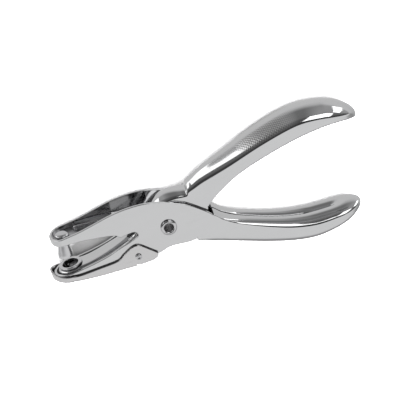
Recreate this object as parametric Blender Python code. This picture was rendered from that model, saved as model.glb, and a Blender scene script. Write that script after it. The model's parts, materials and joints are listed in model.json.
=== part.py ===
"""Single-hole plier punch with a chip tray, lying on its side.

Row frame: X runs from the jaws to the handle ends, Y from the tray side to
the lever side, Z up out of the floor. All shapes are drawn in millimetres
about the main pivot, whose axis is Z, and are then set down at PIVOT.
"""
import math

import bmesh
import bpy
from mathutils import Matrix, Vector

MM = 0.001

# Driving dimensions, millimetres.
PIVOT = (-17.4, -0.95, 9.4)      # main pivot in the row frame
GAP = 0.3                        # clearance kept between neighbouring pieces
SHEET = 1.2                      # thickness of the stamped steel halves
FRAME_HALF_WIDTH = 6.6           # outer face of the frame plates
LEVER_HALF_WIDTH = FRAME_HALF_WIDTH - SHEET - GAP
UPPER_NOSE = (-42.8, 5.1)        # where the upper jaw's bend starts, and its length
LOWER_NOSE_X = -43.8             # where the lower jaw's bends start
FRAME_LOWER_NOSE = 7.5           # lengths of the three nested lower noses
DIE_ARM_NOSE = 5.6
TRAY_NOSE = 8.8
TRAY_SHEET = 0.8
TRAY_HALF_WIDTH = FRAME_HALF_WIDTH + GAP + TRAY_SHEET
TRAY_HINGE = (-15.7, -7.9)
TRAY_FLOOR_END = -17.5           # behind this the tray is only its two ears
SQUEEZE_DEG = 8.0                # lever travel from open to closed
DIE_CENTRE = (-43.6, -4.4)       # die hole at the top of its bush, lever open
DIE_HOLE_R = 3.4
PUNCH_R = 3.1
PUNCH_SHANK_R = 2.15
PUNCH_ENTRY = 2.3                # how far the punch stands in the closed die
SEAM_HALF_GAP = 0.4              # half width of the seam along each grip
SEAM_DIP = 0.45                  # how far the curled sides dip to the seam, of their depth
SEAM_END = (56.0, 58.0)          # where the lever's and the frame's seams close
RIVET_R = 2.4
RIVET_BORE_R = 1.8
WIRE_R = 0.55
COIL_R = 4.4

# Smoothness of the solids.
ARCH_STEPS = 6
CURL_STEPS = 5
NOSE_STEPS = 6
ROW_STEPS = 2
ROUND_STEPS = 32

# Stations along the lever: x, half width, crown of the web, top of the wall,
# free edge of the wall, web exponent, depth of the curled inner side.
LEVER_ROWS = [
    (-43.8, 5.1, -5.3, -6.7, -8.0, 3.6, None),
    (-36.0, 5.1, -5.0, -6.6, -8.2, 2.8, None),
    (-27.0, 5.1, -3.1, -4.8, -8.1, 2.6, None),
    (-18.5, 5.1, -0.6, -2.4, -7.8, 2.6, None),
    (-14.5, 5.1, 1.2, -0.4, -7.8, 3.2, None),
    (-10.5, 5.1, 4.9, 2.8, -7.8, 2.6, None),
    (-6.6, 5.1, 8.4, 5.8, -7.8, 2.2, None),
    (-3.0, 5.1, 11.0, 8.0, -7.8, 2.1, None),
    (1.3, 5.1, 12.7, 9.7, -7.7, 2.1, None),
    (6.0, 5.1, 12.7, 10.0, -7.2, 2.2, None),
    (10.2, 5.1, 11.9, 9.4, -5.6, 2.4, None),
    (11.4, 5.1, 12.0, 9.5, -4.7, 2.4, None),
    (12.4, 5.1, 14.1, 10.4, -3.9, 2.3, None),
    (15.0, 5.1, 15.4, 11.2, -1.4, 2.2, None),
    (18.0, 5.15, 17.0, 12.4, 2.2, 2.0, 0.6),
    (22.0, 5.8, 18.7, 13.9, 5.9, 1.9, 1.0),
    (32.0, 7.2, 22.3, 17.2, 12.4, 1.85, 1.6),
    (42.0, 8.4, 26.0, 21.0, 16.4, 1.85, 2.0),
    (52.0, 9.1, 28.9, 23.9, 19.3, 1.85, 2.2),
    (62.0, 9.4, 30.6, 26.0, 21.3, 1.85, 2.2),
    (69.0, 9.3, 30.2, 25.6, 22.0, 1.85, 2.2),
    (74.0, 8.8, 28.9, 24.5, 21.9, 1.85, 2.0),
]
LEVER_TIP = (13.4, -4.8, -3.6)   # length, fall of the crown side, fall of the inner side

# Stations along the frame's grip, the same columns.
GRIP_ROWS = [
    (9.5, 6.6, -11.6, -9.8, 7.5, 2.5, None),
    (12.0, 6.6, -12.8, -10.3, 5.5, 2.5, None),
    (15.0, 6.6, -14.3, -11.1, 2.8, 2.5, None),
    (17.5, 6.6, -15.4, -11.9, 0.3, 2.5, None),
    (19.0, 6.6, -16.1, -12.6, -1.5, 2.4, 0.5),
    (20.0, 6.6, -16.6, -13.0, -2.6, 2.3, 0.8),
    (23.0, 6.6, -18.0, -14.4, -6.0, 2.2, 1.4),
    (28.0, 6.7, -20.3, -16.4, -9.6, 2.0, 2.1),
    (34.0, 6.9, -22.8, -18.8, -12.9, 2.0, 2.8),
    (40.0, 7.2, -25.1, -20.9, -15.8, 2.0, 3.2),
    (48.0, 8.1, -27.4, -23.2, -18.9, 2.0, 3.5),
    (56.0, 8.8, -28.7, -24.5, -20.7, 2.0, 3.6),
    (62.0, 8.9, -28.3, -24.5, -21.2, 2.0, 3.6),
    (67.0, 8.6, -27.4, -24.0, -21.1, 2.0, 3.3),
]
GRIP_TIP = (12.4, 3.3, 0.7)

# Stations along the chip tray, whose web is its floor.
TRAY_ROWS = [
    (-43.8, 7.7, -10.7, -8.7, -7.2, 2.6, None),
    (-40.5, 7.7, -11.1, -9.4, -7.7, 3.0, None),
    (-32.6, 7.7, -11.7, -10.4, -7.5, 3.6, None),
    (-24.6, 7.7, -12.1, -10.9, -7.1, 4.0, None),
    (-21.4, 7.7, -12.3, -11.1, -5.3, 4.0, None),
    (-18.6, 7.7, -12.5, -11.3, -3.8, 4.0, None),
    (-17.5, 7.7, -12.5, -11.4, -3.3, 4.0, None),
    (-16.0, 7.7, -12.5, -11.9, -2.9, 4.0, None),
    (-14.2, 7.7, -12.5, -12.0, -3.1, 4.0, None),
    (-12.4, 7.7, -12.5, -12.0, -4.5, 4.0, None),
    (-10.4, 7.7, -12.4, -11.9, -6.5, 4.0, None),
    (-8.7, 7.7, -12.2, -11.4, -8.2, 4.0, None),
    (-7.6, 7.7, -12.0, -10.4, -9.3, 4.0, None),
]
TRAY_TIP = (TRAY_NOSE, 1.2, 2.9)

# Side view of the frame plate in front of the grip, all open runs.
PLATE_TOP = [(9.5, 7.5), (3.6, 10.5), (-0.3, 12.1), (-4.3, 13.3), (-8.4, 14.0), (-12.8, 14.2),
             (-17.1, 14.1), (-21.6, 13.6), (-26.4, 12.7), (-31.0, 11.8), (-35.6, 11.0), (-42.8, 10.3)]
JAW_UPPER = [(-42.8, 7.3), (-36.8, 7.0), (-32.6, 6.4), (-28.4, 5.7), (-24.3, 4.9), (-21.4, 3.9)]
SLOT = [(-20.2, 2.5), (-15.0, 3.0), (-13.3, 2.4), (-12.8, 1.3), (-13.6, 0.3), (-17.4, -1.0)]
JAW_LOWER = [(-17.4, -1.0), (-22.0, -2.2), (-27.0, -3.8), (-31.5, -4.7), (-36.1, -5.4), (-43.8, -6.2)]
PLATE_BOTTOM = [(-43.8, -8.6), (-38.0, -9.5), (-24.0, -9.7), (-12.0, -10.3), (-7.5, -10.4),
                (-5.5, -10.0), (-2.0, -9.1), (2.0, -9.4), (6.0, -9.9), (9.5, -9.8)]


def material(name, colour, roughness, metallic=1.0):
    mat = bpy.data.materials.new(name)
    mat.use_nodes = True
    shader = mat.node_tree.nodes["Principled BSDF"]
    shader.inputs["Base Color"].default_value = (*colour, 1.0)
    shader.inputs["Roughness"].default_value = roughness
    shader.inputs["Metallic"].default_value = metallic
    return mat


def group(name, at, parent=None):
    """An empty on a joint axis, placed in millimetres about its parent."""
    empty = bpy.data.objects.new(name, None)
    empty.location = Vector(at) * MM
    empty.parent = parent
    bpy.context.scene.collection.objects.link(empty)
    return empty


def place(obj, parent, mat=None, origin=(0.0, 0.0, 0.0)):
    """Put an object drawn about the pivot under a joint's empty."""
    obj.parent = parent
    obj.location = -Vector(origin) * MM
    bpy.context.scene.collection.objects.link(obj)
    if mat:
        obj.data.materials.append(mat)
    return obj


def mesh_object(name, bm, sharp_deg=35.0):
    """Finish a bmesh drawn in millimetres as a smooth-shaded object."""
    bmesh.ops.recalc_face_normals(bm, faces=bm.faces)
    bmesh.ops.scale(bm, vec=(MM, MM, MM), verts=bm.verts)
    mesh = bpy.data.meshes.new(name)
    bm.to_mesh(mesh)
    bm.free()
    mesh.shade_smooth()
    mesh.set_sharp_from_angle(angle=math.radians(sharp_deg))
    return bpy.data.objects.new(name, mesh)


def spline(points, steps):
    """Points on a smooth curve through the given ones, of any number of columns."""
    out = []
    last = len(points) - 1
    for i in range(last):
        p0 = points[max(i - 1, 0)]
        p1 = points[i]
        p2 = points[i + 1]
        p3 = points[min(i + 2, last)]
        for k in range(steps):
            t = k / steps
            out.append(tuple(
                0.5 * (2 * b + (c - a) * t + (2 * a - 5 * b + 4 * c - d) * t * t
                       + (3 * b - a - 3 * c + d) * t ** 3)
                for a, b, c, d in zip(p0, p1, p2, p3)))
    out.append(tuple(points[-1]))
    return out


class Sheet:
    """Bent sheet metal, kept as pairs of an outer and an inner point."""

    def __init__(self):
        self.pairs = []
        self.index = {}
        self.faces = []

    def point(self, outer, inner):
        key = tuple(round(c, 4) for c in outer)
        if key not in self.index:
            self.index[key] = len(self.pairs)
            self.pairs.append((outer, inner))
        return self.index[key]

    def face(self, corners):
        ring = [c for i, c in enumerate(corners) if c != corners[i - 1]]
        if len(set(ring)) >= 3:
            self.faces.append(ring)

    def grid(self, rows):
        """Faces between neighbouring rows, skipping columns that are None."""
        for a, b in zip(rows, rows[1:]):
            for j in range(len(a) - 1):
                corners = (a[j], a[j + 1], b[j + 1], b[j])
                if None not in corners:
                    self.face(corners)

    def bmesh(self):
        bm = bmesh.new()
        outer = [bm.verts.new(o) for o, _ in self.pairs]
        inner = [bm.verts.new(i) for _, i in self.pairs]
        edges = {}
        for ring in self.faces:
            bm.faces.new([outer[c] for c in ring])
            bm.faces.new([inner[c] for c in reversed(ring)])
            for a, b in zip(ring, ring[1:] + ring[:1]):
                edges.setdefault(frozenset((a, b)), []).append((a, b))
        for uses in edges.values():
            if len(uses) == 1:
                a, b = uses[0]
                bm.faces.new((outer[b], outer[a], inner[a], inner[b]))
        return bm


def fill_rows(rows, steps):
    """More stations between the given ones; a curl starts where its column does."""
    dense = []
    for row in spline([r[:6] + (r[6] or 0.0,) for r in rows], steps):
        dense.append(list(row))
    for k, row in enumerate(dense):
        if rows[k // steps][6] is None:
            row[6] = None
    return dense


def half_section(row, thick, side, gap, slope):
    """Near half of a channel section, from the crown of its web to its free edge.

    Each point is (outer fraction, outer y, inner fraction, inner y), where a
    fraction is of the section's half width, so that ends can be turned round.
    """
    _, width, crown, tangent, edge, power, curl = row
    depth = thick * min(math.hypot(1.0, slope), 1.7)
    shrink = (width - thick) / width
    points = []
    for i in range(ARCH_STEPS + 1):
        angle = math.pi / 2 * (1 - i / ARCH_STEPS)
        across = max(math.cos(angle), 0.0) ** (2 / power) if i else 0.0
        rise = max(math.sin(angle), 0.0) ** (2 / power) if i < ARCH_STEPS else 0.0
        points.append((across, tangent + (crown - tangent) * rise,
                       across * shrink, tangent + (crown - side * depth - tangent) * rise))
    inner_edge = edge if curl is None else edge + side * max(thick - curl, 0.0)
    points.append((1.0, edge, shrink, inner_edge))
    for j in range(1, CURL_STEPS + 1):
        if curl is None:
            points.append(None)
            continue
        angle = math.pi / 2 * j / CURL_STEPS
        start = gap / width
        across = max(math.cos(angle), 0.0) if j < CURL_STEPS else 0.0
        rise = math.sin(angle)
        dip = SEAM_DIP * max(curl - 0.4, 0.0) * max(1 - across / 0.55, 0.0) ** 2
        points.append((start + (1 - start) * across, edge - side * (curl * rise - dip),
                       start + (shrink - start) * across,
                       inner_edge - side * (max(curl - thick, 0.0) * rise - dip)))
    return points


def channel(sheet, rows, side, thick, seam_end=None, tip=None, nose=None, web_from=None, web_to=None):
    """Loft a channel along X. The web lies on +Y for side 1 and on -Y for side -1.

    tip and nose turn the last and the first section round an upright axis:
    length, change of the web side's height, change of the free side's height.
    Returns the near wall's points at the first station, web side first.
    """
    grid = []

    def ring(points, x, width, turn, reach, web_change, edge_change):
        cosine = math.cos(turn)
        sine = math.sin(turn)
        span = abs(reach)
        near = []
        far = []
        for k, p in enumerate(points):
            if p is None:
                near.append(None)
                far.append(None)
                continue
            change = web_change if k <= ARCH_STEPS else edge_change
            lift = change * (p[0] * sine) ** 2
            inner_reach = math.copysign(max(span - thick, 0.0), reach) * (p[2] * width / (width - thick))
            outer = (x + reach * p[0] * sine, p[1] + lift, width * p[0] * cosine)
            inner = (x + inner_reach * sine, p[3] + lift, width * p[2] * cosine)
            near.append(sheet.point(outer, inner))
            far.append(sheet.point((outer[0], outer[1], -outer[2]), (inner[0], inner[1], -inner[2])))
        return list(reversed(near)) + far[1:]

    sections = []
    for k, row in enumerate(rows):
        before = rows[max(k - 1, 0)]
        after = rows[min(k + 1, len(rows) - 1)]
        slope = (after[2] - before[2]) / (after[0] - before[0])
        gap = 0.0
        if seam_end and row[0] < seam_end:
            gap = SEAM_HALF_GAP * min(1.0, (seam_end - row[0]) / 3.0)
        points = half_section(row, thick, side, gap, slope)
        bare = (web_from is not None and row[0] < web_from) or (web_to is not None and row[0] > web_to)
        if bare:
            points = [None] * ARCH_STEPS + points[ARCH_STEPS:]
        sections.append((row, points))
    if nose:
        row, points = sections[0]
        for n in range(NOSE_STEPS, 0, -1):
            grid.append(ring(points, row[0], row[1], math.pi / 2 * n / NOSE_STEPS, -nose[0], nose[1], nose[2]))
    for row, points in sections:
        grid.append(ring(points, row[0], row[1], 0.0, 0.0, 0.0, 0.0))
    if tip:
        row, points = sections[-1]
        for n in range(1, NOSE_STEPS + 1):
            grid.append(ring(points, row[0], row[1], math.pi / 2 * n / NOSE_STEPS, tip[0], tip[1], tip[2]))
    sheet.grid(grid)
    return grid


def bent_nose(sheet, x, reach, low, high, width, thick, rise=0.0):
    """The band that joins two plates round a jaw's nose; its lower edge rises by rise at the tip."""
    rows = []
    for n in range(2 * NOSE_STEPS + 1):
        turn = math.pi * n / (2 * NOSE_STEPS)
        cosine = math.cos(turn)
        sine = math.sin(turn)
        rows.append([
            sheet.point((x - reach * sine, y, width * cosine), (x - (reach - thick) * sine, y, (width - thick) * cosine))
            for y in (low + rise * sine * sine, high)])
    sheet.grid(rows)


def frame_solid():
    """Outer half: both plates, the noses of both jaws, and the lower grip."""
    sheet = Sheet()
    width = FRAME_HALF_WIDTH
    grip = fill_rows(GRIP_ROWS, ROW_STEPS)
    channel(sheet, grip, -1, SHEET, seam_end=SEAM_END[1], tip=GRIP_TIP)
    top = spline(PLATE_TOP, 1)
    slot = spline(SLOT, 1)
    outline = top + spline(JAW_UPPER, 1) + slot + spline(JAW_LOWER, 1)[1:] + spline(PLATE_BOTTOM, 1)
    for sign in (1, -1):
        ring = [sheet.point((x, y, sign * width), (x, y, sign * (width - SHEET))) for x, y in outline]
        sheet.face(ring if sign > 0 else ring[::-1])
    bent_nose(sheet, UPPER_NOSE[0], UPPER_NOSE[1], JAW_UPPER[0][1], PLATE_TOP[-1][1], width, SHEET)
    bent_nose(sheet, LOWER_NOSE_X, FRAME_LOWER_NOSE, PLATE_BOTTOM[0][1], JAW_LOWER[-1][1], width, SHEET, 1.1)
    return mesh_object("frame", sheet.bmesh())


def lever_solid():
    """Inner half: the die arm, the yoke round the pivot, and the upper grip."""
    sheet = Sheet()
    rows = fill_rows(LEVER_ROWS, ROW_STEPS)
    channel(sheet, rows, 1, SHEET, seam_end=SEAM_END[0], tip=LEVER_TIP, nose=(DIE_ARM_NOSE, 0.0, 0.0))
    return mesh_object("lever", sheet.bmesh())


def tray_solid():
    """Chip tray: a floor, two walls with hinge ears, and a raised front lip."""
    sheet = Sheet()
    rows = fill_rows(TRAY_ROWS, 1)
    channel(sheet, rows, -1, TRAY_SHEET, nose=TRAY_TIP, web_to=TRAY_FLOOR_END + 0.1)
    return mesh_object("chip_tray", sheet.bmesh())


def turned(name, profile, steps=ROUND_STEPS, axis=(0.0, 0.0, 1.0), at=(0.0, 0.0, 0.0)):
    """A turned piece. profile is (radius, height) round a closed section,
    or from axis to axis for a piece without a hole."""
    bm = bmesh.new()
    rings = []
    for radius, height in profile:
        if radius == 0.0:
            rings.append([bm.verts.new((0.0, 0.0, height))])
            continue
        rings.append([bm.verts.new((radius * math.cos(2 * math.pi * k / steps),
                                    radius * math.sin(2 * math.pi * k / steps), height))
                      for k in range(steps)])
    closed = profile[0][0] > 0.0
    spans = list(zip(rings, rings[1:])) + ([(rings[-1], rings[0])] if closed else [])
    for low, high in spans:
        for k in range(steps):
            n = (k + 1) % steps
            corners = [low[k % len(low)], low[n % len(low)], high[n % len(high)], high[k % len(high)]]
            unique = []
            for c in corners:
                if c not in unique:
                    unique.append(c)
            bm.faces.new(unique)
    turn = Vector((0.0, 0.0, 1.0)).rotation_difference(Vector(axis)).to_matrix().to_4x4()
    bmesh.ops.transform(bm, matrix=Matrix.Translation(at) @ turn, verts=bm.verts)
    return mesh_object(name, bm)


def cutter(name, radius, low, high, parent, axis=(0.0, 0.0, 1.0), at=(0.0, 0.0, 0.0), steps=ROUND_STEPS):
    obj = turned(name, [(0.0, low), (radius, low), (radius, high), (0.0, high)], steps, axis, at)
    return hide_cutter(place(obj, parent))


def box_cutter(name, low, high, parent):
    bm = bmesh.new()
    bmesh.ops.create_cube(bm, size=1.0)
    size = [b - a for a, b in zip(low, high)]
    middle = [(a + b) / 2 for a, b in zip(low, high)]
    bmesh.ops.transform(bm, matrix=Matrix.Translation(middle) @ Matrix.Diagonal((*size, 1.0)), verts=bm.verts)
    return hide_cutter(place(mesh_object(name, bm), parent))


def hide_cutter(obj):
    obj.hide_render = True
    obj.display_type = "WIRE"
    return obj


def cut(obj, tool):
    mod = obj.modifiers.new(tool.name, "BOOLEAN")
    mod.operation = "DIFFERENCE"
    mod.object = tool
    mod.solver = "EXACT"


def punch_frame():
    """Tip centre and upward direction of the punch, square to the closed die."""
    angle = math.radians(SQUEEZE_DEG)
    x, y = DIE_CENTRE
    closed = Vector((x * math.cos(angle) + y * math.sin(angle), -x * math.sin(angle) + y * math.cos(angle), 0.0))
    up = Vector((math.sin(angle), math.cos(angle), 0.0))
    return closed - up * PUNCH_ENTRY, up


def punch_solid():
    tip, up = punch_frame()
    profile = [(0.0, 0.9), (PUNCH_R - 0.1, 0.0), (PUNCH_R, 0.1), (PUNCH_R, 1.2), (PUNCH_SHANK_R, 6.8),
               (PUNCH_SHANK_R, 9.75), (3.0, 9.75), (3.0, 10.2), (2.6, 10.5), (0.0, 10.5)]
    return turned("punch_pin", profile, axis=up, at=tip)


def punch_plate_solid():
    """Strip across the upper jaw that holds the punch and closes the jaw from below."""
    sheet = Sheet()
    half = LEVER_HALF_WIDTH
    thick = 1.1
    front_reach = UPPER_NOSE[1] - SHEET - GAP
    line = [(x, y + 0.1 + thick) for x, y in spline(JAW_UPPER, 2)]
    rows = []
    for n in range(NOSE_STEPS, 0, -1):
        turn = math.pi / 2 * n / NOSE_STEPS
        x = UPPER_NOSE[0] - front_reach * math.sin(turn)
        rows.append((x, line[0][1], half * math.cos(turn)))
    rows += [(x, y, half) for x, y in line]
    grid = []
    for x, y, z in rows:
        grid.append([sheet.point((x, y, s), (x, y - thick, s)) for s in ((z, 0.0, -z) if z > 1e-6 else (0.0, 0.0, 0.0))])
    sheet.grid(grid)
    return mesh_object("punch_plate", sheet.bmesh())


def spring_points():
    """Torsion spring: hooked front leg, four coils round the spacer, rear leg."""
    turns = 4
    per_turn = 14
    half = 2.55
    hook_x = -37.2
    start = math.radians(96.0)
    end = math.radians(60.0)
    sweep = 2 * math.pi * turns + (end - start)
    coil = []
    count = turns * per_turn
    for k in range(count + 1):
        f = k / count
        a = start + sweep * f
        coil.append((COIL_R * math.cos(a), COIL_R * math.sin(a), -half + 2 * half * f))
    front = [(hook_x, 7.9, -half), (hook_x, 8.7, -half), (hook_x + 0.35, 9.2, -half), (hook_x + 1.0, 9.35, -half),
             (-28.0, 8.7, -half), (-18.0, 7.4, -half), (-9.0, 5.9, -half), (-4.0, 4.95, -half)]
    rear = [(4.3, 5.7, half), (7.0, 8.4, half * 0.9), (10.2, 9.5, half * 0.8)]
    return front + coil + rear


def wire(name, points, radius):
    curve = bpy.data.curves.new(name, "CURVE")
    curve.dimensions = "3D"
    curve.bevel_depth = radius * MM
    curve.bevel_resolution = 2
    curve.use_fill_caps = True
    line = curve.splines.new("POLY")
    line.points.add(len(points) - 1)
    for point, at in zip(line.points, points):
        point.co = (*(Vector(at) * MM), 1.0)
    return bpy.data.objects.new(name, curve)


def build():
    for obj in list(bpy.data.objects):
        bpy.data.objects.remove(obj)

    nickel = material("nickel_plate", (0.72, 0.72, 0.73), 0.12)
    nickel_inner = material("nickel_plate_lever", (0.72, 0.72, 0.73), 0.12)
    nickel_tray = material("nickel_plate_tray", (0.70, 0.70, 0.71), 0.16)
    hard_steel = material("punch_steel", (0.55, 0.55, 0.57), 0.25)
    die_steel = material("die_steel", (0.60, 0.60, 0.61), 0.22)
    plate_steel = material("punch_plate_steel", (0.50, 0.50, 0.52), 0.35)
    rivet_steel = material("rivet_steel", (0.66, 0.66, 0.67), 0.2)
    bush_steel = material("spacer_steel", (0.45, 0.45, 0.47), 0.35)
    wire_steel = material("spring_steel", (0.40, 0.40, 0.42), 0.3)

    body = group("pivot_frame", PIVOT)
    lever_axis = group("lever_axis", (0.0, 0.0, 0.0), body)
    hinge_origin = (*TRAY_HINGE, 0.0)
    tray_axis = group("tray_axis", hinge_origin, body)

    frame = place(frame_solid(), body, nickel)
    lever = place(lever_solid(), lever_axis, nickel_inner)
    tray = place(tray_solid(), tray_axis, nickel_tray, hinge_origin)

    pivot_hole = cutter("pivot_hole_tool", RIVET_R + GAP, -12.0, 12.0, body)
    cut(frame, pivot_hole)
    cut(lever, pivot_hole)

    pin_r = 0.8
    pin_hole = cutter("tray_pin_hole_tool", pin_r + 0.25, -12.0, 12.0, body, at=hinge_origin, steps=16)
    cut(frame, pin_hole)
    cut(tray, pin_hole)

    die_seat_r = 4.2
    die_hole = cutter("die_seat_tool", die_seat_r, -2.6, 3.0, body, axis=(0.0, 1.0, 0.0), at=(*DIE_CENTRE, 0.0))
    cut(lever, die_hole)
    cut(lever, box_cutter("spring_slot_tool", (-13.5, 2.4, -3.9), (-5.2, 9.6, -1.2), body))

    tip, up = punch_frame()
    place(punch_solid(), body, hard_steel)
    punch_plate = place(punch_plate_solid(), body, plate_steel)
    cut(punch_plate, cutter("punch_hole_tool", PUNCH_SHANK_R + 0.3, 4.0, 12.0, body, axis=up, at=tip))
    cut(punch_plate, cutter("spring_hook_tool", 0.95, 4.0, 12.0, body, axis=(0.0, 1.0, 0.0),
                            at=(-37.2, 0.0, -2.55), steps=12))

    top = DIE_CENTRE[1]
    bush = [(DIE_HOLE_R, -2.1), (DIE_HOLE_R, -0.15), (DIE_HOLE_R + 0.15, 0.0), (4.75, 0.0), (4.95, -0.2),
            (4.95, -0.55), (die_seat_r - 0.25, -0.55), (die_seat_r - 0.25, -2.1)]
    place(turned("die_bush", bush, axis=(0.0, 1.0, 0.0), at=(DIE_CENTRE[0], top, 0.0)), lever_axis, die_steel)

    head_in = FRAME_HALF_WIDTH + 0.25
    head_out = FRAME_HALF_WIDTH + 1.15
    rivet = [(RIVET_BORE_R, -head_out + 0.2), (RIVET_BORE_R, head_out - 0.2), (2.2, head_out), (2.9, head_out),
             (3.4, head_out - 0.35), (3.4, head_in), (RIVET_R, head_in), (RIVET_R, -head_in),
             (3.4, -head_in), (3.4, -head_out + 0.35), (2.9, -head_out), (2.2, -head_out)]
    place(turned("pivot_rivet", rivet), body, rivet_steel)

    inner_face = LEVER_HALF_WIDTH - SHEET - GAP
    sleeve = [(RIVET_R + GAP, -inner_face), (RIVET_R + GAP, inner_face), (3.5, inner_face), (3.5, -inner_face)]
    place(turned("spacer_sleeve", sleeve), body, bush_steel)

    inside = FRAME_HALF_WIDTH - SHEET
    outside = TRAY_HALF_WIDTH + 0.25
    for name, sign in (("tray_pin_near", 1.0), ("tray_pin_far", -1.0)):
        pin = [(0.0, inside), (pin_r - 0.1, inside), (pin_r, inside + 0.1), (pin_r, outside), (1.35, outside),
               (1.25, outside + 0.3), (0.8, outside + 0.5), (0.0, outside + 0.55)]
        place(turned(name, pin, 16, (0.0, 0.0, sign), hinge_origin), body, rivet_steel)

    place(wire("torsion_spring", spring_points(), WIRE_R), body, wire_steel)


build()
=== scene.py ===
import json
import math

import bmesh
import bpy
from mathutils import Matrix, Vector


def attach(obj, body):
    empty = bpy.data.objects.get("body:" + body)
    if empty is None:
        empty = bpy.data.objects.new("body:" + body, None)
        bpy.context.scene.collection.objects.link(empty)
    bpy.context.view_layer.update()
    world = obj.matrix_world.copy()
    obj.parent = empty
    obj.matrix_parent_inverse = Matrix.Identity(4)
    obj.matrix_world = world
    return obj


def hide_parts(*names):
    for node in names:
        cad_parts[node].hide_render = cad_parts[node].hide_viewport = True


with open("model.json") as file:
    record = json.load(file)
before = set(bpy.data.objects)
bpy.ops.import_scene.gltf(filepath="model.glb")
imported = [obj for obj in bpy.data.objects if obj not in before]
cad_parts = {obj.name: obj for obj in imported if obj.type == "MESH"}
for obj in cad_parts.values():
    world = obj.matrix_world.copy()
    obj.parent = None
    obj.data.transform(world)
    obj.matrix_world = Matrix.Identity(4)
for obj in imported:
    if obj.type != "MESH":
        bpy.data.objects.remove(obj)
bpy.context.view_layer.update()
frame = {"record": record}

MM = 0.001
JOINTS = {j["name"]: j for j in frame["record"]["behaviour"]["joints"]}
PIVOT = Vector(JOINTS["squeeze"]["pos_m"])
HINGE = (Vector(JOINTS["tray_hinge"]["pos_m"]) - PIVOT) / MM

# Sizes in millimetres about the main pivot, as the CAD has them.
SHEET = 1.2                      # thickness of the stamped halves
GAP = 0.3                        # clearance between neighbouring pieces
HALF = 6.6                       # half widths over the plates
LEVER_HALF = HALF - SHEET - GAP
TRAY_HALF = 7.7
TRAY_SHEET = 0.8
SEAM_HALF_GAP = 0.4              # seam along the inner side of each grip
SEAM_DIP = 0.45
DIE = (-43.6, -4.4)              # centre of the die hole at the top of its bush
SQUEEZE_DEG = 8.0                # lever travel from open to closed
PUNCH_ENTRY = 2.3                # how far the punch stands in the closed die
RIVET_R = 2.4
PIN_R = 0.8
PIN_HOLE_R = PIN_R + 0.25
WIRE_R = 0.55
COIL_R = 4.4
COIL_HALF = 2.55
RIM = 0.28                       # rounding of the sheet's cut edges
KNURL_PITCH = 0.8
KNURL_DEPTH = 0.007

# Stations along each channel: x, half width, crown of the web, top of the wall,
# free edge of the wall, web exponent, depth of the curled inner side. The lever's
# last two are a little fuller than the CAD's, so the grip runs into its tip evenly.
LEVER_ROWS = [
    (-43.8, 5.1, -5.3, -6.7, -8.0, 3.6, None),
    (-36.0, 5.1, -5.0, -6.6, -8.2, 2.8, None),
    (-27.0, 5.1, -3.1, -4.8, -8.1, 2.6, None),
    (-18.5, 5.1, -0.6, -2.4, -7.8, 2.6, None),
    (-14.5, 5.1, 1.2, -0.4, -7.8, 3.2, None),
    (-10.5, 5.1, 4.9, 2.8, -7.8, 2.6, None),
    (-6.6, 5.1, 8.4, 5.8, -7.8, 2.2, None),
    (-3.0, 5.1, 11.0, 8.0, -7.8, 2.1, None),
    (1.3, 5.1, 12.7, 9.7, -7.7, 2.1, None),
    (6.0, 5.1, 12.7, 10.0, -7.2, 2.2, None),
    (10.2, 5.1, 11.9, 9.4, -5.6, 2.4, None),
    (11.4, 5.1, 12.0, 9.5, -4.7, 2.4, None),
    (12.4, 5.1, 14.1, 10.4, -3.9, 2.3, None),
    (15.0, 5.1, 15.4, 11.2, -1.4, 2.2, None),
    (18.0, 5.15, 17.0, 12.4, 2.2, 2.0, 0.6),
    (22.0, 5.8, 18.7, 13.9, 5.9, 1.9, 1.0),
    (32.0, 7.2, 22.3, 17.2, 12.4, 1.85, 1.6),
    (42.0, 8.4, 26.0, 21.0, 16.4, 1.85, 2.0),
    (52.0, 9.1, 28.9, 23.9, 19.3, 1.85, 2.2),
    (62.0, 9.4, 30.6, 26.0, 21.3, 1.85, 2.2),
    (69.0, 9.3, 30.25, 25.6, 22.0, 1.85, 2.2),
    (74.0, 8.8, 29.3, 24.5, 21.9, 1.85, 2.0),
]
GRIP_ROWS = [
    (9.5, 6.6, -11.6, -9.8, 7.5, 2.5, None),
    (12.0, 6.6, -12.8, -10.3, 5.5, 2.5, None),
    (15.0, 6.6, -14.3, -11.1, 2.8, 2.5, None),
    (17.5, 6.6, -15.4, -11.9, 0.3, 2.5, None),
    (19.0, 6.6, -16.1, -12.6, -1.5, 2.4, 0.5),
    (20.0, 6.6, -16.6, -13.0, -2.6, 2.3, 0.8),
    (23.0, 6.6, -18.0, -14.4, -6.0, 2.2, 1.4),
    (28.0, 6.7, -20.3, -16.4, -9.6, 2.0, 2.1),
    (34.0, 6.9, -22.8, -18.8, -12.9, 2.0, 2.8),
    (40.0, 7.2, -25.1, -20.9, -15.8, 2.0, 3.2),
    (48.0, 8.1, -27.4, -23.2, -18.9, 2.0, 3.5),
    (56.0, 8.8, -28.7, -24.5, -20.7, 2.0, 3.6),
    (62.0, 8.9, -28.3, -24.5, -21.2, 2.0, 3.6),
    (67.0, 8.6, -27.4, -24.0, -21.1, 2.0, 3.3),
]
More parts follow.
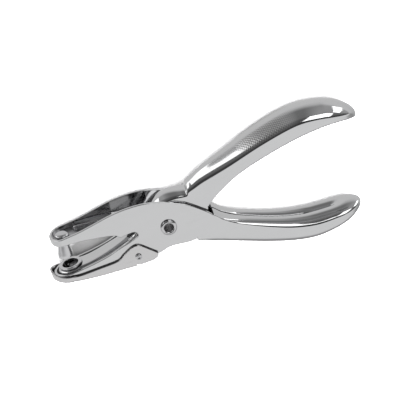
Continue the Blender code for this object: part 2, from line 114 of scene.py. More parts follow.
TRAY_ROWS = [
    (-43.8, 7.7, -10.7, -8.7, -7.2, 2.6, None),
    (-40.5, 7.7, -11.1, -9.4, -7.7, 3.0, None),
    (-32.6, 7.7, -11.7, -10.4, -7.5, 3.6, None),
    (-24.6, 7.7, -12.1, -10.9, -7.1, 4.0, None),
    (-21.4, 7.7, -12.3, -11.1, -5.3, 4.0, None),
    (-18.6, 7.7, -12.5, -11.3, -3.8, 4.0, None),
    (-17.5, 7.7, -12.5, -11.4, -3.3, 4.0, None),
    (-16.0, 7.7, -12.5, -11.9, -2.9, 4.0, None),
    (-14.2, 7.7, -12.5, -12.0, -3.1, 4.0, None),
    (-12.4, 7.7, -12.5, -12.0, -4.5, 4.0, None),
    (-10.4, 7.7, -12.4, -11.9, -6.5, 4.0, None),
    (-8.7, 7.7, -12.2, -11.4, -8.2, 4.0, None),
    (-7.6, 7.7, -12.0, -10.4, -9.3, 4.0, None),
]
PLATE_TOP = [(9.5, 7.5), (3.6, 10.5), (-0.3, 12.1), (-4.3, 13.3), (-8.4, 14.0), (-12.8, 14.2),
             (-17.1, 14.1), (-21.6, 13.6), (-26.4, 12.7), (-31.0, 11.8), (-35.6, 11.0), (-42.8, 10.3)]
JAW_UPPER = [(-42.8, 7.3), (-36.8, 7.0), (-32.6, 6.4), (-28.4, 5.7), (-24.3, 4.9), (-21.4, 3.9)]
SLOT = [(-20.2, 2.5), (-15.0, 3.0), (-13.3, 2.4), (-12.8, 1.3), (-13.6, 0.3), (-17.4, -1.0)]
JAW_LOWER = [(-17.4, -1.0), (-22.0, -2.2), (-27.0, -3.8), (-31.5, -4.7), (-36.1, -5.4), (-43.8, -6.2)]
PLATE_BOTTOM = [(-43.8, -8.6), (-38.0, -9.5), (-24.0, -9.7), (-12.0, -10.3), (-7.5, -10.4),
                (-5.5, -10.0), (-2.0, -9.1), (2.0, -9.4), (6.0, -9.9), (9.5, -9.8)]

ARCH_STEPS = 18
CURL_STEPS = 14
NOSE_STEPS = 14
RIM_STEPS = 3
COIL_STEPS = 144


def spline(points, steps):
    """Points on a smooth curve through the given ones, of any number of columns."""
    out = []
    last = len(points) - 1
    for i in range(last):
        p0 = points[max(i - 1, 0)]
        p3 = points[min(i + 2, last)]
        for k in range(steps):
            t = k / steps
            out.append(tuple(
                0.5 * (2 * b + (c - a) * t + (2 * a - 5 * b + 4 * c - d) * t * t
                       + (3 * b - a - 3 * c + d) * t ** 3)
                for a, b, c, d in zip(p0, points[i], points[i + 1], p3)))
    out.append(tuple(points[-1]))
    return out


def fill_rows(rows, steps, smooth_from, passes):
    """Dense stations; those past smooth_from are evened out so reflections flow."""
    dense = [list(r) for r in spline([r[:6] + (r[6] or 0.0,) for r in rows], steps)]
    first = next((k for k, r in enumerate(dense) if r[0] >= smooth_from), len(dense))
    for _ in range(passes):
        before = [list(r) for r in dense]
        for k in range(first + 1, len(dense) - 1):
            for c in range(6):
                dense[k][c] = (before[k - 1][c] + 2 * before[k][c] + before[k + 1][c]) / 4
    for k, row in enumerate(dense):
        if rows[k // steps][6] is None:
            row[6] = None
    return dense


class Sheet:
    """Bent sheet metal with rounded rims, kept as outer and inner points."""

    def __init__(self):
        self.pairs = []
        self.index = {}
        self.faces = []

    def point(self, outer, inner):
        key = tuple(round(c, 4) for c in outer)
        if key not in self.index:
            self.index[key] = len(self.pairs)
            self.pairs.append((Vector(outer), Vector(inner)))
        return self.index[key]

    def face(self, corners):
        ring = [c for i, c in enumerate(corners) if c != corners[i - 1]]
        if len(set(ring)) >= 3:
            self.faces.append(ring)

    def grid(self, rows):
        """Faces between neighbouring rows, skipping columns that are None."""
        for a, b in zip(rows, rows[1:]):
            for j in range(len(a) - 1):
                corners = (a[j], a[j + 1], b[j + 1], b[j])
                if None not in corners:
                    self.face(corners)

    def mesh(self, rim):
        edges = {}
        for ring in self.faces:
            for a, b in zip(ring, ring[1:] + ring[:1]):
                edges.setdefault(frozenset((a, b)), []).append((a, b))
        border = [uses[0] for uses in edges.values() if len(uses) == 1]
        sides = {}
        for a, b in border:
            for v in (a, b):
                outer, inner = self.pairs[v]
                across = (self.pairs[b][0] - self.pairs[a][0]).cross(outer - inner)
                if across.length > 1e-9:
                    sides.setdefault(v, []).append(across.normalized())
        bm = bmesh.new()
        outer_verts = []
        inner_verts = []
        rims = {}
        for v, (outer, inner) in enumerate(self.pairs):
            if v not in sides:
                outer_verts.append(bm.verts.new(outer))
                inner_verts.append(bm.verts.new(inner))
                continue
            out = sum(sides[v], Vector()).normalized()
            stretch = 1.0 / max(out.dot(sides[v][0]), 0.6)
            normal = (outer - inner).normalized()
            chain = []
            for start, sign in ((outer, -1.0), (inner, 1.0)):
                arc = []
                for k in range(RIM_STEPS + 1):
                    turn = math.pi / 2 * k / RIM_STEPS
                    arc.append(bm.verts.new(start - out * (rim * stretch * (1 - math.sin(turn)))
                                            + normal * (sign * rim * (1 - math.cos(turn)))))
                chain.append(arc)
            outer_verts.append(chain[0][0])
            inner_verts.append(chain[1][0])
            rims[v] = chain[0] + chain[1][::-1]
        for ring in self.faces:
            bm.faces.new([outer_verts[c] for c in ring])
            bm.faces.new([inner_verts[c] for c in reversed(ring)])
        for a, b in border:
            for j in range(len(rims[a]) - 1):
                bm.faces.new((rims[b][j], rims[a][j], rims[a][j + 1], rims[b][j + 1]))
        return bm


def half_section(row, thick, side, gap, slope):
    """Near half of a channel section: (outer fraction, outer y, inner fraction, inner y)."""
    _, width, crown, tangent, edge, power, curl = row
    depth = thick * min(math.hypot(1.0, slope), 1.7)
    shrink = (width - thick) / width
    points = []
    for i in range(ARCH_STEPS + 1):
        angle = math.pi / 2 * (1 - i / ARCH_STEPS)
        across = max(math.cos(angle), 0.0) ** (2 / power) if i else 0.0
        rise = max(math.sin(angle), 0.0) ** (2 / power) if i < ARCH_STEPS else 0.0
        points.append((across, tangent + (crown - tangent) * rise,
                       across * shrink, tangent + (crown - side * depth - tangent) * rise))
    inner_edge = edge if curl is None else edge + side * max(thick - curl, 0.0)
    for share in (0.08, 0.92, 1.0):
        points.append((1.0, tangent + (edge - tangent) * share,
                       shrink, tangent + (inner_edge - tangent) * share))
    for j in range(1, CURL_STEPS + 1):
        if curl is None:
            points.append(None)
            continue
        angle = math.pi / 2 * j / CURL_STEPS
        start = gap / width
        across = max(math.cos(angle), 0.0) if j < CURL_STEPS else 0.0
        rise = math.sin(angle)
        dip = SEAM_DIP * max(curl - 0.4, 0.0) * max(1 - across / 0.55, 0.0) ** 2
        points.append((start + (1 - start) * across, edge - side * (curl * rise - dip),
                       start + (shrink - start) * across,
                       inner_edge - side * (max(curl - thick, 0.0) * rise - dip)))
    return points


def channel(sheet, rows, side, thick, seam_end=None, tip=None, nose=None, web_to=None):
    """Loft a channel along X, with its ends turned round an upright axis.

    tip and nose: reach along X, lift of the web and lift of the free edge at the very end.
    """
    grid = []
    wall_share = {ARCH_STEPS + 1: 0.92, ARCH_STEPS + 2: 0.08}

    def ring(points, x, width, turn, reach, web_change, edge_change, lean=0.0):
        cosine = math.cos(turn)
        sine = math.sin(turn)
        inner_scale = math.copysign(max(abs(reach) - thick, 0.0), reach) * width / (width - thick)
        near = []
        far = []
        for k, p in enumerate(points):
            if p is None:
                near.append(None)
                far.append(None)
                continue
            share = 1.0 if k <= ARCH_STEPS else wall_share.get(k, 0.0)
            change = edge_change + (web_change - edge_change) * share
            first = lean * share * reach
            lift = first * p[0] * sine + (change - first) * (p[0] * sine) ** 2
            outer = (x + reach * p[0] * sine, p[1] + lift, width * p[0] * cosine)
            inner = (x + inner_scale * p[2] * sine, p[3] + lift, width * p[2] * cosine)
            near.append(sheet.point(outer, inner))
            far.append(sheet.point((outer[0], outer[1], -outer[2]), (inner[0], inner[1], -inner[2])))
        return list(reversed(near)) + far[1:]

    sections = []
    for k, row in enumerate(rows):
        before = rows[max(k - 1, 0)]
        after = rows[min(k + 1, len(rows) - 1)]
        slope = (after[2] - before[2]) / max(after[0] - before[0], 1e-6)
        gap = 0.0
        if seam_end and row[0] < seam_end:
            gap = SEAM_HALF_GAP * min(1.0, (seam_end - row[0]) / 3.0)
        points = half_section(row, thick, side, gap, slope)
        if web_to is not None and row[0] > web_to:
            points = [None] * ARCH_STEPS + points[ARCH_STEPS:]
        sections.append((row, points))
    if nose:
        row, points = sections[0]
        for n in range(NOSE_STEPS, 0, -1):
            turn = math.pi / 2 * n / NOSE_STEPS
            grid.append(ring(points, row[0], row[1], turn, -nose[0], nose[1], nose[2]))
    for row, points in sections:
        grid.append(ring(points, row[0], row[1], 0.0, 0.0, 0.0, 0.0))
    if tip:
        row, points = sections[-1]
        lean = (row[2] - rows[-2][2]) / (row[0] - rows[-2][0])
        for n in range(1, NOSE_STEPS + 1):
            turn = math.pi / 2 * n / NOSE_STEPS
            grid.append(ring(points, row[0], row[1], turn, tip[0], tip[1], tip[2], lean))
    sheet.grid(grid)


def bent_nose(sheet, x, reach, low, high, width, thick, rise=0.0):
    """Sheet bent round an upright axis from one plate to the other."""
    rows = []
    for n in range(2 * NOSE_STEPS + 1):
        turn = math.pi * n / (2 * NOSE_STEPS)
        cosine = math.cos(turn)
        sine = math.sin(turn)
        rows.append([
            sheet.point((x - reach * sine, y, width * cosine),
                        (x - (reach - thick) * sine, y, (width - thick) * cosine))
            for y in (low + rise * sine * sine, high)])
    sheet.grid(rows)


def settle(bm):
    """From millimetres about the pivot to metres in the shared frame."""
    bmesh.ops.recalc_face_normals(bm, faces=bm.faces)
    bmesh.ops.transform(bm, matrix=Matrix.Translation(PIVOT) @ Matrix.Scale(MM, 4), verts=bm.verts)


def mesh_object(name, bm):
    settle(bm)
    mesh = bpy.data.meshes.new(name)
    bm.to_mesh(mesh)
    bm.free()
    obj = bpy.data.objects.new(name, mesh)
    bpy.context.scene.collection.objects.link(obj)
    return obj


def cut(obj, shapes):
    """Take closed shapes out of a piece's mesh."""
    tools = [mesh_object(f"{obj.name}_cut_{k}", shape) for k, shape in enumerate(shapes)]
    for tool in tools:
        mod = obj.modifiers.new(tool.name, "BOOLEAN")
        mod.operation = "DIFFERENCE"
        mod.solver = "EXACT"
        mod.object = tool
    solid = obj.evaluated_get(bpy.context.evaluated_depsgraph_get())
    plain = obj.data
    obj.data = bpy.data.meshes.new_from_object(solid)
    obj.data.name = plain.name
    obj.modifiers.clear()
    bpy.data.meshes.remove(plain)
    for tool in tools:
        bpy.data.objects.remove(tool)


def finish_piece(obj, body, node, mat, holes=()):
    """Cut, shade and paint a piece, then let it stand for its CAD node."""
    if holes:
        cut(obj, holes)
    obj.data.materials.clear()
    obj.data.materials.append(mat)
    obj.data.shade_smooth()
    obj.data.set_sharp_from_angle(angle=math.radians(40.0))
    even = obj.modifiers.new("even_normals", "WEIGHTED_NORMAL")
    even.keep_sharp = True
    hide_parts(node)
    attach(obj, body)
    return obj


def fillet(points, radius, steps=4):
    """Round the corners of an open profile."""
    out = [points[0]]
    for before, corner, after in zip(points, points[1:], points[2:]):
        c = Vector(corner)
        u = Vector(before) - c
        w = Vector(after) - c
        reach = min(radius, u.length * 0.45, w.length * 0.45)
        a = c + u.normalized() * reach
        b = c + w.normalized() * reach
        for k in range(steps + 1):
            t = k / steps
            out.append(tuple(a * (1 - t) ** 2 + c * (2 * t * (1 - t)) + b * t * t))
    out.append(points[-1])
    return out


def lathe(profile, steps=64, axis=(0.0, 0.0, 1.0), at=(0.0, 0.0, 0.0)):
    """Turn a profile of (radius, height) points about an axis."""
    bm = bmesh.new()
    rings = []
    for radius, height in profile:
        if radius < 1e-6:
            rings.append([bm.verts.new((0.0, 0.0, height))])
            continue
        rings.append([bm.verts.new((radius * math.cos(2 * math.pi * k / steps),
                                    radius * math.sin(2 * math.pi * k / steps), height))
                      for k in range(steps)])
    spans = list(zip(rings, rings[1:]))
    if profile[0][0] > 0.0 and Vector(profile[0]) != Vector(profile[-1]):
        spans.append((rings[-1], rings[0]))
    for low, high in spans:
        for k in range(steps):
            n = (k + 1) % steps
            corners = [low[k % len(low)], low[n % len(low)], high[n % len(high)], high[k % len(high)]]
            unique = [c for i, c in enumerate(corners) if c not in corners[:i]]
            bm.faces.new(unique)
    turn = Vector((0.0, 0.0, 1.0)).rotation_difference(Vector(axis)).to_matrix().to_4x4()
    bmesh.ops.transform(bm, matrix=Matrix.Translation(at) @ turn, verts=bm.verts)
    return bm


# Shader nodes

def maths(tree, operation, *values):
    """A maths node's output; each value is a number or another node's output."""
    node = tree.nodes.new("ShaderNodeMath")
    node.operation = operation
    for socket, value in zip(node.inputs, values):
        if isinstance(value, float):
            socket.default_value = value
        else:
            tree.links.new(value, socket)
    return node.outputs[0]


def spread_over(tree, value, low, high, to_low=0.0, to_high=1.0, smooth=False):
    """Map low..high onto to_low..to_high."""
    node = tree.nodes.new("ShaderNodeMapRange")
    if smooth:
        node.interpolation_type = "SMOOTHSTEP"
    node.inputs["From Min"].default_value = low
    node.inputs["From Max"].default_value = high
    node.inputs["To Min"].default_value = to_low
    node.inputs["To Max"].default_value = to_high
    tree.links.new(value, node.inputs["Value"])
    return node.outputs["Result"]


def noise(tree, vector, scale, detail, roughness=0.5):
    node = tree.nodes.new("ShaderNodeTexNoise")
    node.inputs["Scale"].default_value = scale
    node.inputs["Detail"].default_value = detail
    node.inputs["Roughness"].default_value = roughness
    tree.links.new(vector, node.inputs["Vector"])
    return node.outputs["Fac"]


def turned(tree, vector, scale, rotation=(0.0, 0.0, 0.0)):
    node = tree.nodes.new("ShaderNodeMapping")
    node.inputs["Scale"].default_value = scale
    node.inputs["Rotation"].default_value = rotation
    tree.links.new(vector, node.inputs["Vector"])
    return node.outputs["Vector"]


def bumped(tree, height, strength, distance):
    node = tree.nodes.new("ShaderNodeBump")
    node.inputs["Strength"].default_value = strength
    node.inputs["Distance"].default_value = distance
    tree.links.new(height, node.inputs["Height"])
    return node


def mixed(tree, factor, first, second):
    """Blend of two colours, each a tuple or another node's output."""
    node = tree.nodes.new("ShaderNodeMix")
    node.data_type = "RGBA"
    tree.links.new(factor, node.inputs["Factor"])
    for name, colour in (("A", first), ("B", second)):
        if isinstance(colour, tuple):
            node.inputs[name].default_value = (*colour, 1.0)
        else:
            tree.links.new(colour, node.inputs[name])
    return node.outputs["Result"]


def axes_of(tree, vector):
    node = tree.nodes.new("ShaderNodeSeparateXYZ")
    tree.links.new(vector, node.inputs["Vector"])
    return node.outputs


# Materials

def metal(name, colour, rough, spread=0.05, streak=(0.3, 1.0, 1.0), ripple=0.05, knurl=False):
    """Bright metal: wipe marks and scratches that vary its gloss, and a faint ripple in the sheet."""
    mat = bpy.data.materials.new(name)
    mat.use_nodes = True
    tree = mat.node_tree
    shader = tree.nodes["Principled BSDF"]
    shader.inputs["Metallic"].default_value = 1.0
    coords = tree.nodes.new("ShaderNodeTexCoord").outputs["Object"]
    smears = noise(tree, turned(tree, coords, streak), 160.0, 6.0, 0.6)
    marks = noise(tree, turned(tree, coords, (0.08, 1.0, 0.7), (0.2, 0.1, 0.5)), 900.0, 3.0)
    gloss = spread_over(tree, smears, 0.4, 0.75, rough, rough + spread)
    scratches = spread_over(tree, marks, 0.62, 0.72, 0.0, 0.14)
    worn = maths(tree, "ADD", gloss, scratches)
    shade = mixed(tree, smears, colour, tuple(c * 0.95 for c in colour))
    surface = bumped(tree, noise(tree, coords, 70.0, 1.0), ripple, 0.0005)
    if knurl:
        surface, shade, worn = add_knurl(tree, coords, surface, shade, worn)
    tree.links.new(worn, shader.inputs["Roughness"])
    tree.links.new(shade, shader.inputs["Base Color"])
    tree.links.new(surface.outputs["Normal"], shader.inputs["Normal"])
    return mat


def add_knurl(tree, coords, below, shade, worn):
    """Small bumped, rougher dots in a diamond pattern, with painted shade darkening the colour in their
    hollows, where the mesh's 'grip' value is above 0.
    """
    axes = axes_of(tree, turned(tree, coords, (1.0, 0.0, 1.0), (0.0, math.radians(45.0), 0.0)))
    per_metre = 2 * math.pi / (KNURL_PITCH * MM)
    waves = [maths(tree, "SINE", maths(tree, "MULTIPLY", axes[name], per_metre)) for name in ("X", "Z")]
    dots = maths(tree, "ADD", *waves)
    attribute = tree.nodes.new("ShaderNodeAttribute")
    attribute.attribute_name = "grip"
    mask = attribute.outputs["Fac"]
    surface = bumped(tree, maths(tree, "MULTIPLY", dots, mask), 1.0, KNURL_DEPTH * MM)
    tree.links.new(below.outputs["Normal"], surface.inputs["Normal"])
    # Painted shade: the base colour darkens where the dots' bump is low, in their hollows.
    hollow_shade = spread_over(tree, dots, -1.6, 1.6, 0.30, 0.56)
    return surface, mixed(tree, mask, shade, hollow_shade), maths(tree, "MULTIPLY_ADD", mask, 0.14, worn)

CHROME = (0.56, 0.562, 0.567)
plated_frame = metal("plated_frame", CHROME, 0.07)
plated_lever = metal("plated_lever", CHROME, 0.07, knurl=True)
plated_tray = metal("plated_tray", (0.55, 0.545, 0.548), 0.11, ripple=0.08)
punch_steel = metal("ground_punch", (0.53, 0.53, 0.54), 0.12, streak=(1.0, 0.2, 1.0))
die_steel = metal("turned_die", (0.55, 0.55, 0.56), 0.14)
plain_steel = metal("plain_steel", (0.42, 0.42, 0.43), 0.26, spread=0.15)
bore_steel = metal("oiled_bore", (0.55, 0.55, 0.555), 0.42, spread=0.2)
rivet_steel = metal("rivet_steel", (0.52, 0.52, 0.53), 0.15)
wire_steel = metal("spring_wire", (0.5, 0.5, 0.51), 0.2, spread=0.1)


def rod(radius, low, high, axis=(0.0, 0.0, 1.0), at=(0.0, 0.0, 0.0)):
    return lathe([(0.0, low), (radius, low), (radius, high), (0.0, high)], 48, axis, at)


def block(low, high):
    bm = bmesh.new()
    bmesh.ops.create_cube(bm, size=1.0)
    for vert in bm.verts:
        for i in range(3):
            vert.co[i] = low[i] if vert.co[i] < 0 else high[i]
    return bm


# Frame: side plates, noses and the lower grip in one bent sheet.
hinge_at = (HINGE.x, HINGE.y, 0.0)
rivet_hole = (RIVET_R + GAP, -12.0, 12.0)
pin_hole = (PIN_HOLE_R, -12.0, 12.0)
sheet = Sheet()
channel(sheet, fill_rows(GRIP_ROWS, 8, 22.0, 14), -1, SHEET, seam_end=58.0, tip=(12.4, 3.3, 0.7))
wall = [(9.5, -9.8 + 17.3 * 0.08), (9.5, -9.8 + 17.3 * 0.92)]
outline = (spline(PLATE_TOP, 4) + spline(JAW_UPPER, 4) + spline(SLOT, 4) + spline(JAW_LOWER, 4)[1:]
           + spline(PLATE_BOTTOM, 4) + wall)
for sign in (1, -1):
    plate = [sheet.point((x, y, sign * HALF), (x, y, sign * (HALF - SHEET))) for x, y in outline]
    sheet.face(plate if sign > 0 else plate[::-1])
bent_nose(sheet, -42.8, 5.1, 7.3, 10.3, HALF, SHEET)
bent_nose(sheet, -43.8, 7.5, -8.6, -6.2, HALF, SHEET, 1.1)
finish_piece(mesh_object("frame_body", sheet.mesh(RIM)), "frame", "frame", plated_frame,
             [rod(*rivet_hole), rod(*pin_hole, at=hinge_at)])

# Lever: die arm, yoke and the upper grip in one bent sheet.
sheet = Sheet()
lever_rows = fill_rows(LEVER_ROWS, 8, 14.0, 14)
channel(sheet, lever_rows, 1, SHEET, seam_end=56.0, tip=(13.4, -4.8, -3.6), nose=(5.6, 0.0, 0.0))
lever = mesh_object("lever_body", sheet.mesh(RIM))
finish_piece(lever, "lever", "lever", plated_lever,
             [rod(*rivet_hole),
              rod(4.2, -2.6, 3.0, (0.0, 1.0, 0.0), (*DIE, 0.0)),
              block((-13.5, 2.4, -3.9), (-5.2, 9.6, -1.2))])

# Where the palm is knurled: both sides of its crown, fading out at the ends.
grip = lever.data.attributes.new("grip", "FLOAT", "POINT")
for vertex, value in zip(lever.data.vertices, grip.data):
    x, y, z = (vertex.co - PIVOT) / MM
    nearest = min(lever_rows, key=lambda row: abs(row[0] - x))
    along = min((x - 36.0) / 5.0, (63.0 - x) / 8.0)
    above_wall = y - nearest[3] - 0.6
    aside = (abs(z) - 1.6) / 1.2
    value.value = max(0.0, min(1.0, along, above_wall, aside))

# Chip tray
sheet = Sheet()
channel(sheet, fill_rows(TRAY_ROWS, 5, 100.0, 0), -1, TRAY_SHEET, nose=(8.8, 1.2, 2.9), web_to=-17.4)
finish_piece(mesh_object("tray_body", sheet.mesh(0.2)), "tray", "chip_tray", plated_tray,
             [rod(*pin_hole, at=hinge_at)])

# Punch pin: square to the die when the lever is closed.
closed = math.radians(SQUEEZE_DEG)
punch_axis = Vector((math.sin(closed), math.cos(closed), 0.0))
closed_die = Vector((DIE[0] * math.cos(closed) + DIE[1] * math.sin(closed),
                     -DIE[0] * math.sin(closed) + DIE[1] * math.cos(closed), 0.0))
punch_end = closed_die - punch_axis * PUNCH_ENTRY
profile = [(0.0, 0.9), (1.5, 0.7), (2.95, 0.0), (3.1, 0.12), (3.1, 1.1)]
profile += fillet([(3.1, 1.3), (2.15, 6.6), (2.15, 9.7)], 2.0, 6)
profile += fillet([(3.0, 9.72), (3.0, 10.25), (2.1, 10.75), (0.0, 10.85)], 0.4)
finish_piece(mesh_object("punch", lathe(profile, 64, punch_axis, punch_end)), "frame", "punch_pin",
             punch_steel)

# Strip that holds the punch
sheet = Sheet()
strip = [(x, y + 1.2) for x, y in spline(JAW_UPPER, 5)]
turns = [math.pi / 2 * n / NOSE_STEPS for n in range(NOSE_STEPS, 0, -1)]
stations = [(-42.8 - 3.6 * math.sin(turn), strip[0][1], LEVER_HALF * math.cos(turn)) for turn in turns]
stations += [(x, y, LEVER_HALF) for x, y in strip]
grid = []
for x, y, z in stations:
    reach = z if z > 1e-6 else 0.0
    across = [reach * share for share in (1.0, 0.5, 0.0, -0.5, -1.0)]
    grid.append([sheet.point((x, y, side), (x, y - 1.1, side)) for side in across])
sheet.grid(grid)
finish_piece(mesh_object("punch_strip", sheet.mesh(0.15)), "frame", "punch_plate",
             plain_steel,
             [rod(2.45, 4.0, 12.0, punch_axis, punch_end),
              rod(0.95, 4.0, 12.0, (0.0, 1.0, 0.0), (-37.2, 0.0, -COIL_HALF))])

# Die bush
profile = fillet([(3.4, -2.1), (3.4, 0.0), (4.95, 0.0), (4.95, -0.55), (3.95, -0.55), (3.95, -2.1)], 0.25)
finish_piece(mesh_object("die", lathe(profile, 64, (0.0, 1.0, 0.0), (*DIE, 0.0))), "lever", "die_bush",
             die_steel)

# Pivot rivet with rolled ends and its spacer
under = HALF + 0.25
top = HALF + 1.15
half_profile = fillet([(RIVET_R, 0.0), (RIVET_R, under), (3.4, under), (3.35, top - 0.3), (2.75, top),
                       (2.15, top - 0.1), (1.8, top - 0.7), (1.8, 0.0)], 0.3)
profile = half_profile[:-1] + [(r, -h) for r, h in half_profile[::-1][:-1]]
rivet = mesh_object("rivet", lathe(profile, 64))
finish_piece(rivet, "frame", "pivot_rivet", rivet_steel)
rivet.data.materials.append(bore_steel)
for polygon in rivet.data.polygons:
    radius = math.hypot(*[(polygon.center[i] - PIVOT[i]) / MM for i in (0, 1)])
    if radius < 1.85:
        polygon.material_index = 1
sleeve = LEVER_HALF - SHEET - GAP
profile = fillet([(RIVET_R + GAP, -sleeve), (RIVET_R + GAP, sleeve), (3.5, sleeve), (3.5, -sleeve)], 0.1)
finish_piece(mesh_object("spacer", lathe(profile, 48)), "frame", "spacer_sleeve",
             plain_steel)

# Tray hinge pins
inside = HALF - SHEET
under = TRAY_HALF + 0.25
profile = fillet([(0.0, inside), (PIN_R, inside), (PIN_R, under), (1.35, under), (1.3, under + 0.35),
                  (0.85, under + 0.5), (0.45, under + 0.3), (0.0, under + 0.2)], 0.15)
for name, sign in (("near", 1.0), ("far", -1.0)):
    finish_piece(mesh_object(f"hinge_pin_{name}", lathe(profile, 32, (0.0, 0.0, sign), hinge_at)), "frame",
                 f"tray_pin_{name}", rivet_steel)


def spring_line():
    """Hooked front leg, four coils round the spacer, rear leg."""
    low, high = math.radians(96.0), math.radians(60.0)
    sweep = 8 * math.pi + high - low
    coil = []
    for k in range(COIL_STEPS + 1):
        share = k / COIL_STEPS
        coil.append((COIL_R * math.cos(low + sweep * share), COIL_R * math.sin(low + sweep * share),
                     COIL_HALF * (2 * share - 1)))
    hook = [(-37.2, 7.9), (-37.2, 8.7), (-36.85, 9.2), (-36.2, 9.35), (-28.0, 8.7), (-18.0, 7.4),
            (-9.0, 5.9), (-4.0, 4.95)]
    front = spline([(x, y, -COIL_HALF) for x, y in hook], 4)
    return front + coil + [(4.3, 5.7, COIL_HALF), (7.0, 8.4, 2.3), (10.2, 9.5, 2.04)]


curve = bpy.data.curves.new("spring", "CURVE")
curve.dimensions = "3D"
curve.bevel_depth = WIRE_R * MM
curve.bevel_resolution = 5
curve.use_fill_caps = True
points = spring_line()
line = curve.splines.new("POLY")
line.points.add(len(points) - 1)
for point, at in zip(line.points, points):
    point.co = (*(PIVOT + Vector(at) * MM), 1.0)
curve.materials.append(wire_steel)
spring = bpy.data.objects.new("spring", curve)
bpy.context.scene.collection.objects.link(spring)
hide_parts("torsion_spring")
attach(spring, "frame")

# Camera: a long lens above the near side plate, leaning to the lever's side.
RIGHT = Vector((0.9455, -0.2855, 0.156)).normalized()
UP = Vector((0.3256, 0.8292, -0.454)).normalized()
BACK = RIGHT.cross(UP).normalized()
LENS = 150.0
VIEW_WIDTH = 171.9 * MM
centre = PIVOT + (RIGHT * 17.15 + UP * 4.79) * MM
distance = LENS / 36.0 * VIEW_WIDTH
camera_data = bpy.data.cameras.new("camera")
camera_data.lens = LENS
camera_data.sensor_width = 36.0
camera_data.clip_start = 0.01
camera_data.clip_end = 20.0
camera = bpy.data.objects.new("camera", camera_data)
facing = Matrix((RIGHT, UP, BACK)).transposed().to_4x4()
camera.matrix_world = Matrix.Translation(centre + BACK * distance) @ facing
bpy.context.scene.collection.objects.link(camera)
bpy.context.scene.camera = camera
bpy.context.scene.view_settings.view_transform = "Standard"

# Floor: pale paper, with a soft grey shadow painted into its colour under the open jaw.
FLOOR_HALF = 2.5
floor_mesh = bpy.data.meshes.new("floor")
corners = [(x * FLOOR_HALF, y * FLOOR_HALF, 0.0) for x, y in ((-1, -1), (1, -1), (1, 1), (-1, 1))]
floor_mesh.from_pydata(corners, [], [(0, 1, 2, 3)])
floor = bpy.data.objects.new("floor", floor_mesh)
bpy.context.scene.collection.objects.link(floor)
floor_mat = bpy.data.materials.new("pale_floor")
floor_mat.use_nodes = True
floor_tree = floor_mat.node_tree
paper = floor_tree.nodes["Principled BSDF"]
paper.inputs["Roughness"].default_value = 0.9
paper.inputs["Specular IOR Level"].default_value = 0.2
floor_coords = floor_tree.nodes.new("ShaderNodeTexCoord")
under_jaw = floor_tree.nodes.new("ShaderNodeMapping")
under_jaw.vector_type = "TEXTURE"
under_jaw.inputs["Location"].default_value = (-0.0495, -0.0058, 0.0)
under_jaw.inputs["Scale"].default_value = (0.019, 0.0075, 1.0)
# Painted shadow: the paper's colour darkens towards a spot under the open jaw.
shadow = floor_tree.nodes.new("ShaderNodeTexGradient")
shadow.gradient_type = "SPHERICAL"
shadow_tone = floor_tree.nodes.new("ShaderNodeValToRGB")
shadow_tone.color_ramp.elements[0].color = (0.88, 0.88, 0.88, 1.0)
shadow_tone.color_ramp.elements[1].color = (0.17, 0.17, 0.17, 1.0)
shadow_tone.color_ramp.elements[1].position = 0.45
floor_tree.links.new(floor_coords.outputs["Object"], under_jaw.inputs["Vector"])
floor_tree.links.new(under_jaw.outputs["Vector"], shadow.inputs["Vector"])
floor_tree.links.new(shadow.outputs["Fac"], shadow_tone.inputs["Fac"])
floor_tree.links.new(shadow_tone.outputs["Color"], paper.inputs["Base Color"])
floor_mesh.materials.append(floor_mat)
floor.visible_glossy = False

# Brightness of the room by angle in degrees from overhead towards +Y.
SKY_STOPS = [(-180, 0.76), (-140, 0.65), (-110, 0.45), (-85, 0.45), (-60, 0.55), (-45, 0.95), (-19, 1.06),
             (-9, 0.95), (-4, 0.10), (2, 0.06), (18, 0.07), (28, 0.16), (45, 0.20), (66, 0.28), (78, 0.46),
             (122, 0.50), (134, 0.82), (150, 0.84), (180, 0.76)]


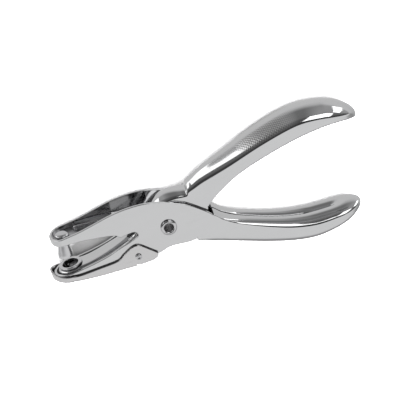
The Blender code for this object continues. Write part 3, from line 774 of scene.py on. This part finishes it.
def sky():
    """Soft grey room: bright high on the tray side, dark overhead, dim on the lever side."""
    world = bpy.data.worlds.new("studio")
    bpy.context.scene.world = world
    world.use_nodes = True
    tree = world.node_tree
    background = tree.nodes["Background"]
    axes = axes_of(tree, tree.nodes.new("ShaderNodeTexCoord").outputs["Generated"])
    angle = maths(tree, "ARCTAN2", axes["Y"], axes["Z"])
    ramp = tree.nodes.new("ShaderNodeValToRGB")
    tree.links.new(spread_over(tree, angle, -math.pi, math.pi), ramp.inputs["Fac"])
    elements = ramp.color_ramp.elements
    elements.remove(elements[1])
    for k, (degrees, level) in enumerate(SKY_STOPS):
        at = (degrees + 180) / 360
        stop = elements[0] if k == 0 else elements.new(at)
        stop.position = at
        stop.color = (level, level, level, 1.0)

    # A light corner beyond the jaws, on the tray side.
    jaw_side = spread_over(tree, axes["X"], -0.35, -0.7, smooth=True)
    behind = spread_over(tree, axes["Y"], -0.1, -0.3)
    corner = maths(tree, "MULTIPLY", jaw_side, behind)
    colour = mixed(tree, corner, ramp.outputs["Color"], (0.95, 0.95, 0.95))
    tree.links.new(colour, background.inputs["Color"])

    # A dim upright band on the lever side, a little towards the handles.
    off_middle = maths(tree, "ABSOLUTE", maths(tree, "SUBTRACT", axes["X"], 0.12))
    band = spread_over(tree, off_middle, 0.08, 0.34, 0.50, 0.0)
    ahead = spread_over(tree, axes["Y"], 0.1, 0.35)
    above = spread_over(tree, axes["Z"], -0.8, -0.5)
    dimmed = maths(tree, "MULTIPLY", band, maths(tree, "MULTIPLY", ahead, above))
    tree.links.new(maths(tree, "SUBTRACT", 1.0, dimmed), background.inputs["Strength"])


def area(name, location, size, power, glossy=True):
    """A rectangular light facing the middle of the scene."""
    light = bpy.data.lights.new(name, "AREA")
    light.shape = "RECTANGLE"
    light.size, light.size_y = size
    light.energy = power
    obj = bpy.data.objects.new(name, light)
    obj.location = location
    obj.rotation_euler = (Vector() - Vector(location)).to_track_quat("-Z", "Y").to_euler()
    obj.visible_glossy = glossy
    bpy.context.scene.collection.objects.link(obj)


def window(name, azimuth, elevation, size, glow):
    """A bright panel 1.5 m off that the metal reflects: azimuth from +Y towards +X."""
    reach = 1.5
    a = math.radians(azimuth)
    e = math.radians(elevation)
    location = (reach * math.sin(a) * math.cos(e), reach * math.cos(a) * math.cos(e), reach * math.sin(e))
    area(name, location, size, glow * math.pi * size[0] * size[1])


sky()
area("fill", (0.0, 0.0, 2.0), (2.5, 2.5), 230.0, glossy=False)
window("window_left", -42.5, -3.0, (0.62, 1.7), 1.7)
window("window_right", 33.0, 38.0, (0.7, 1.0), 2.4)
window("window_end", 52.0, -8.0, (0.4, 1.0), 2.4)
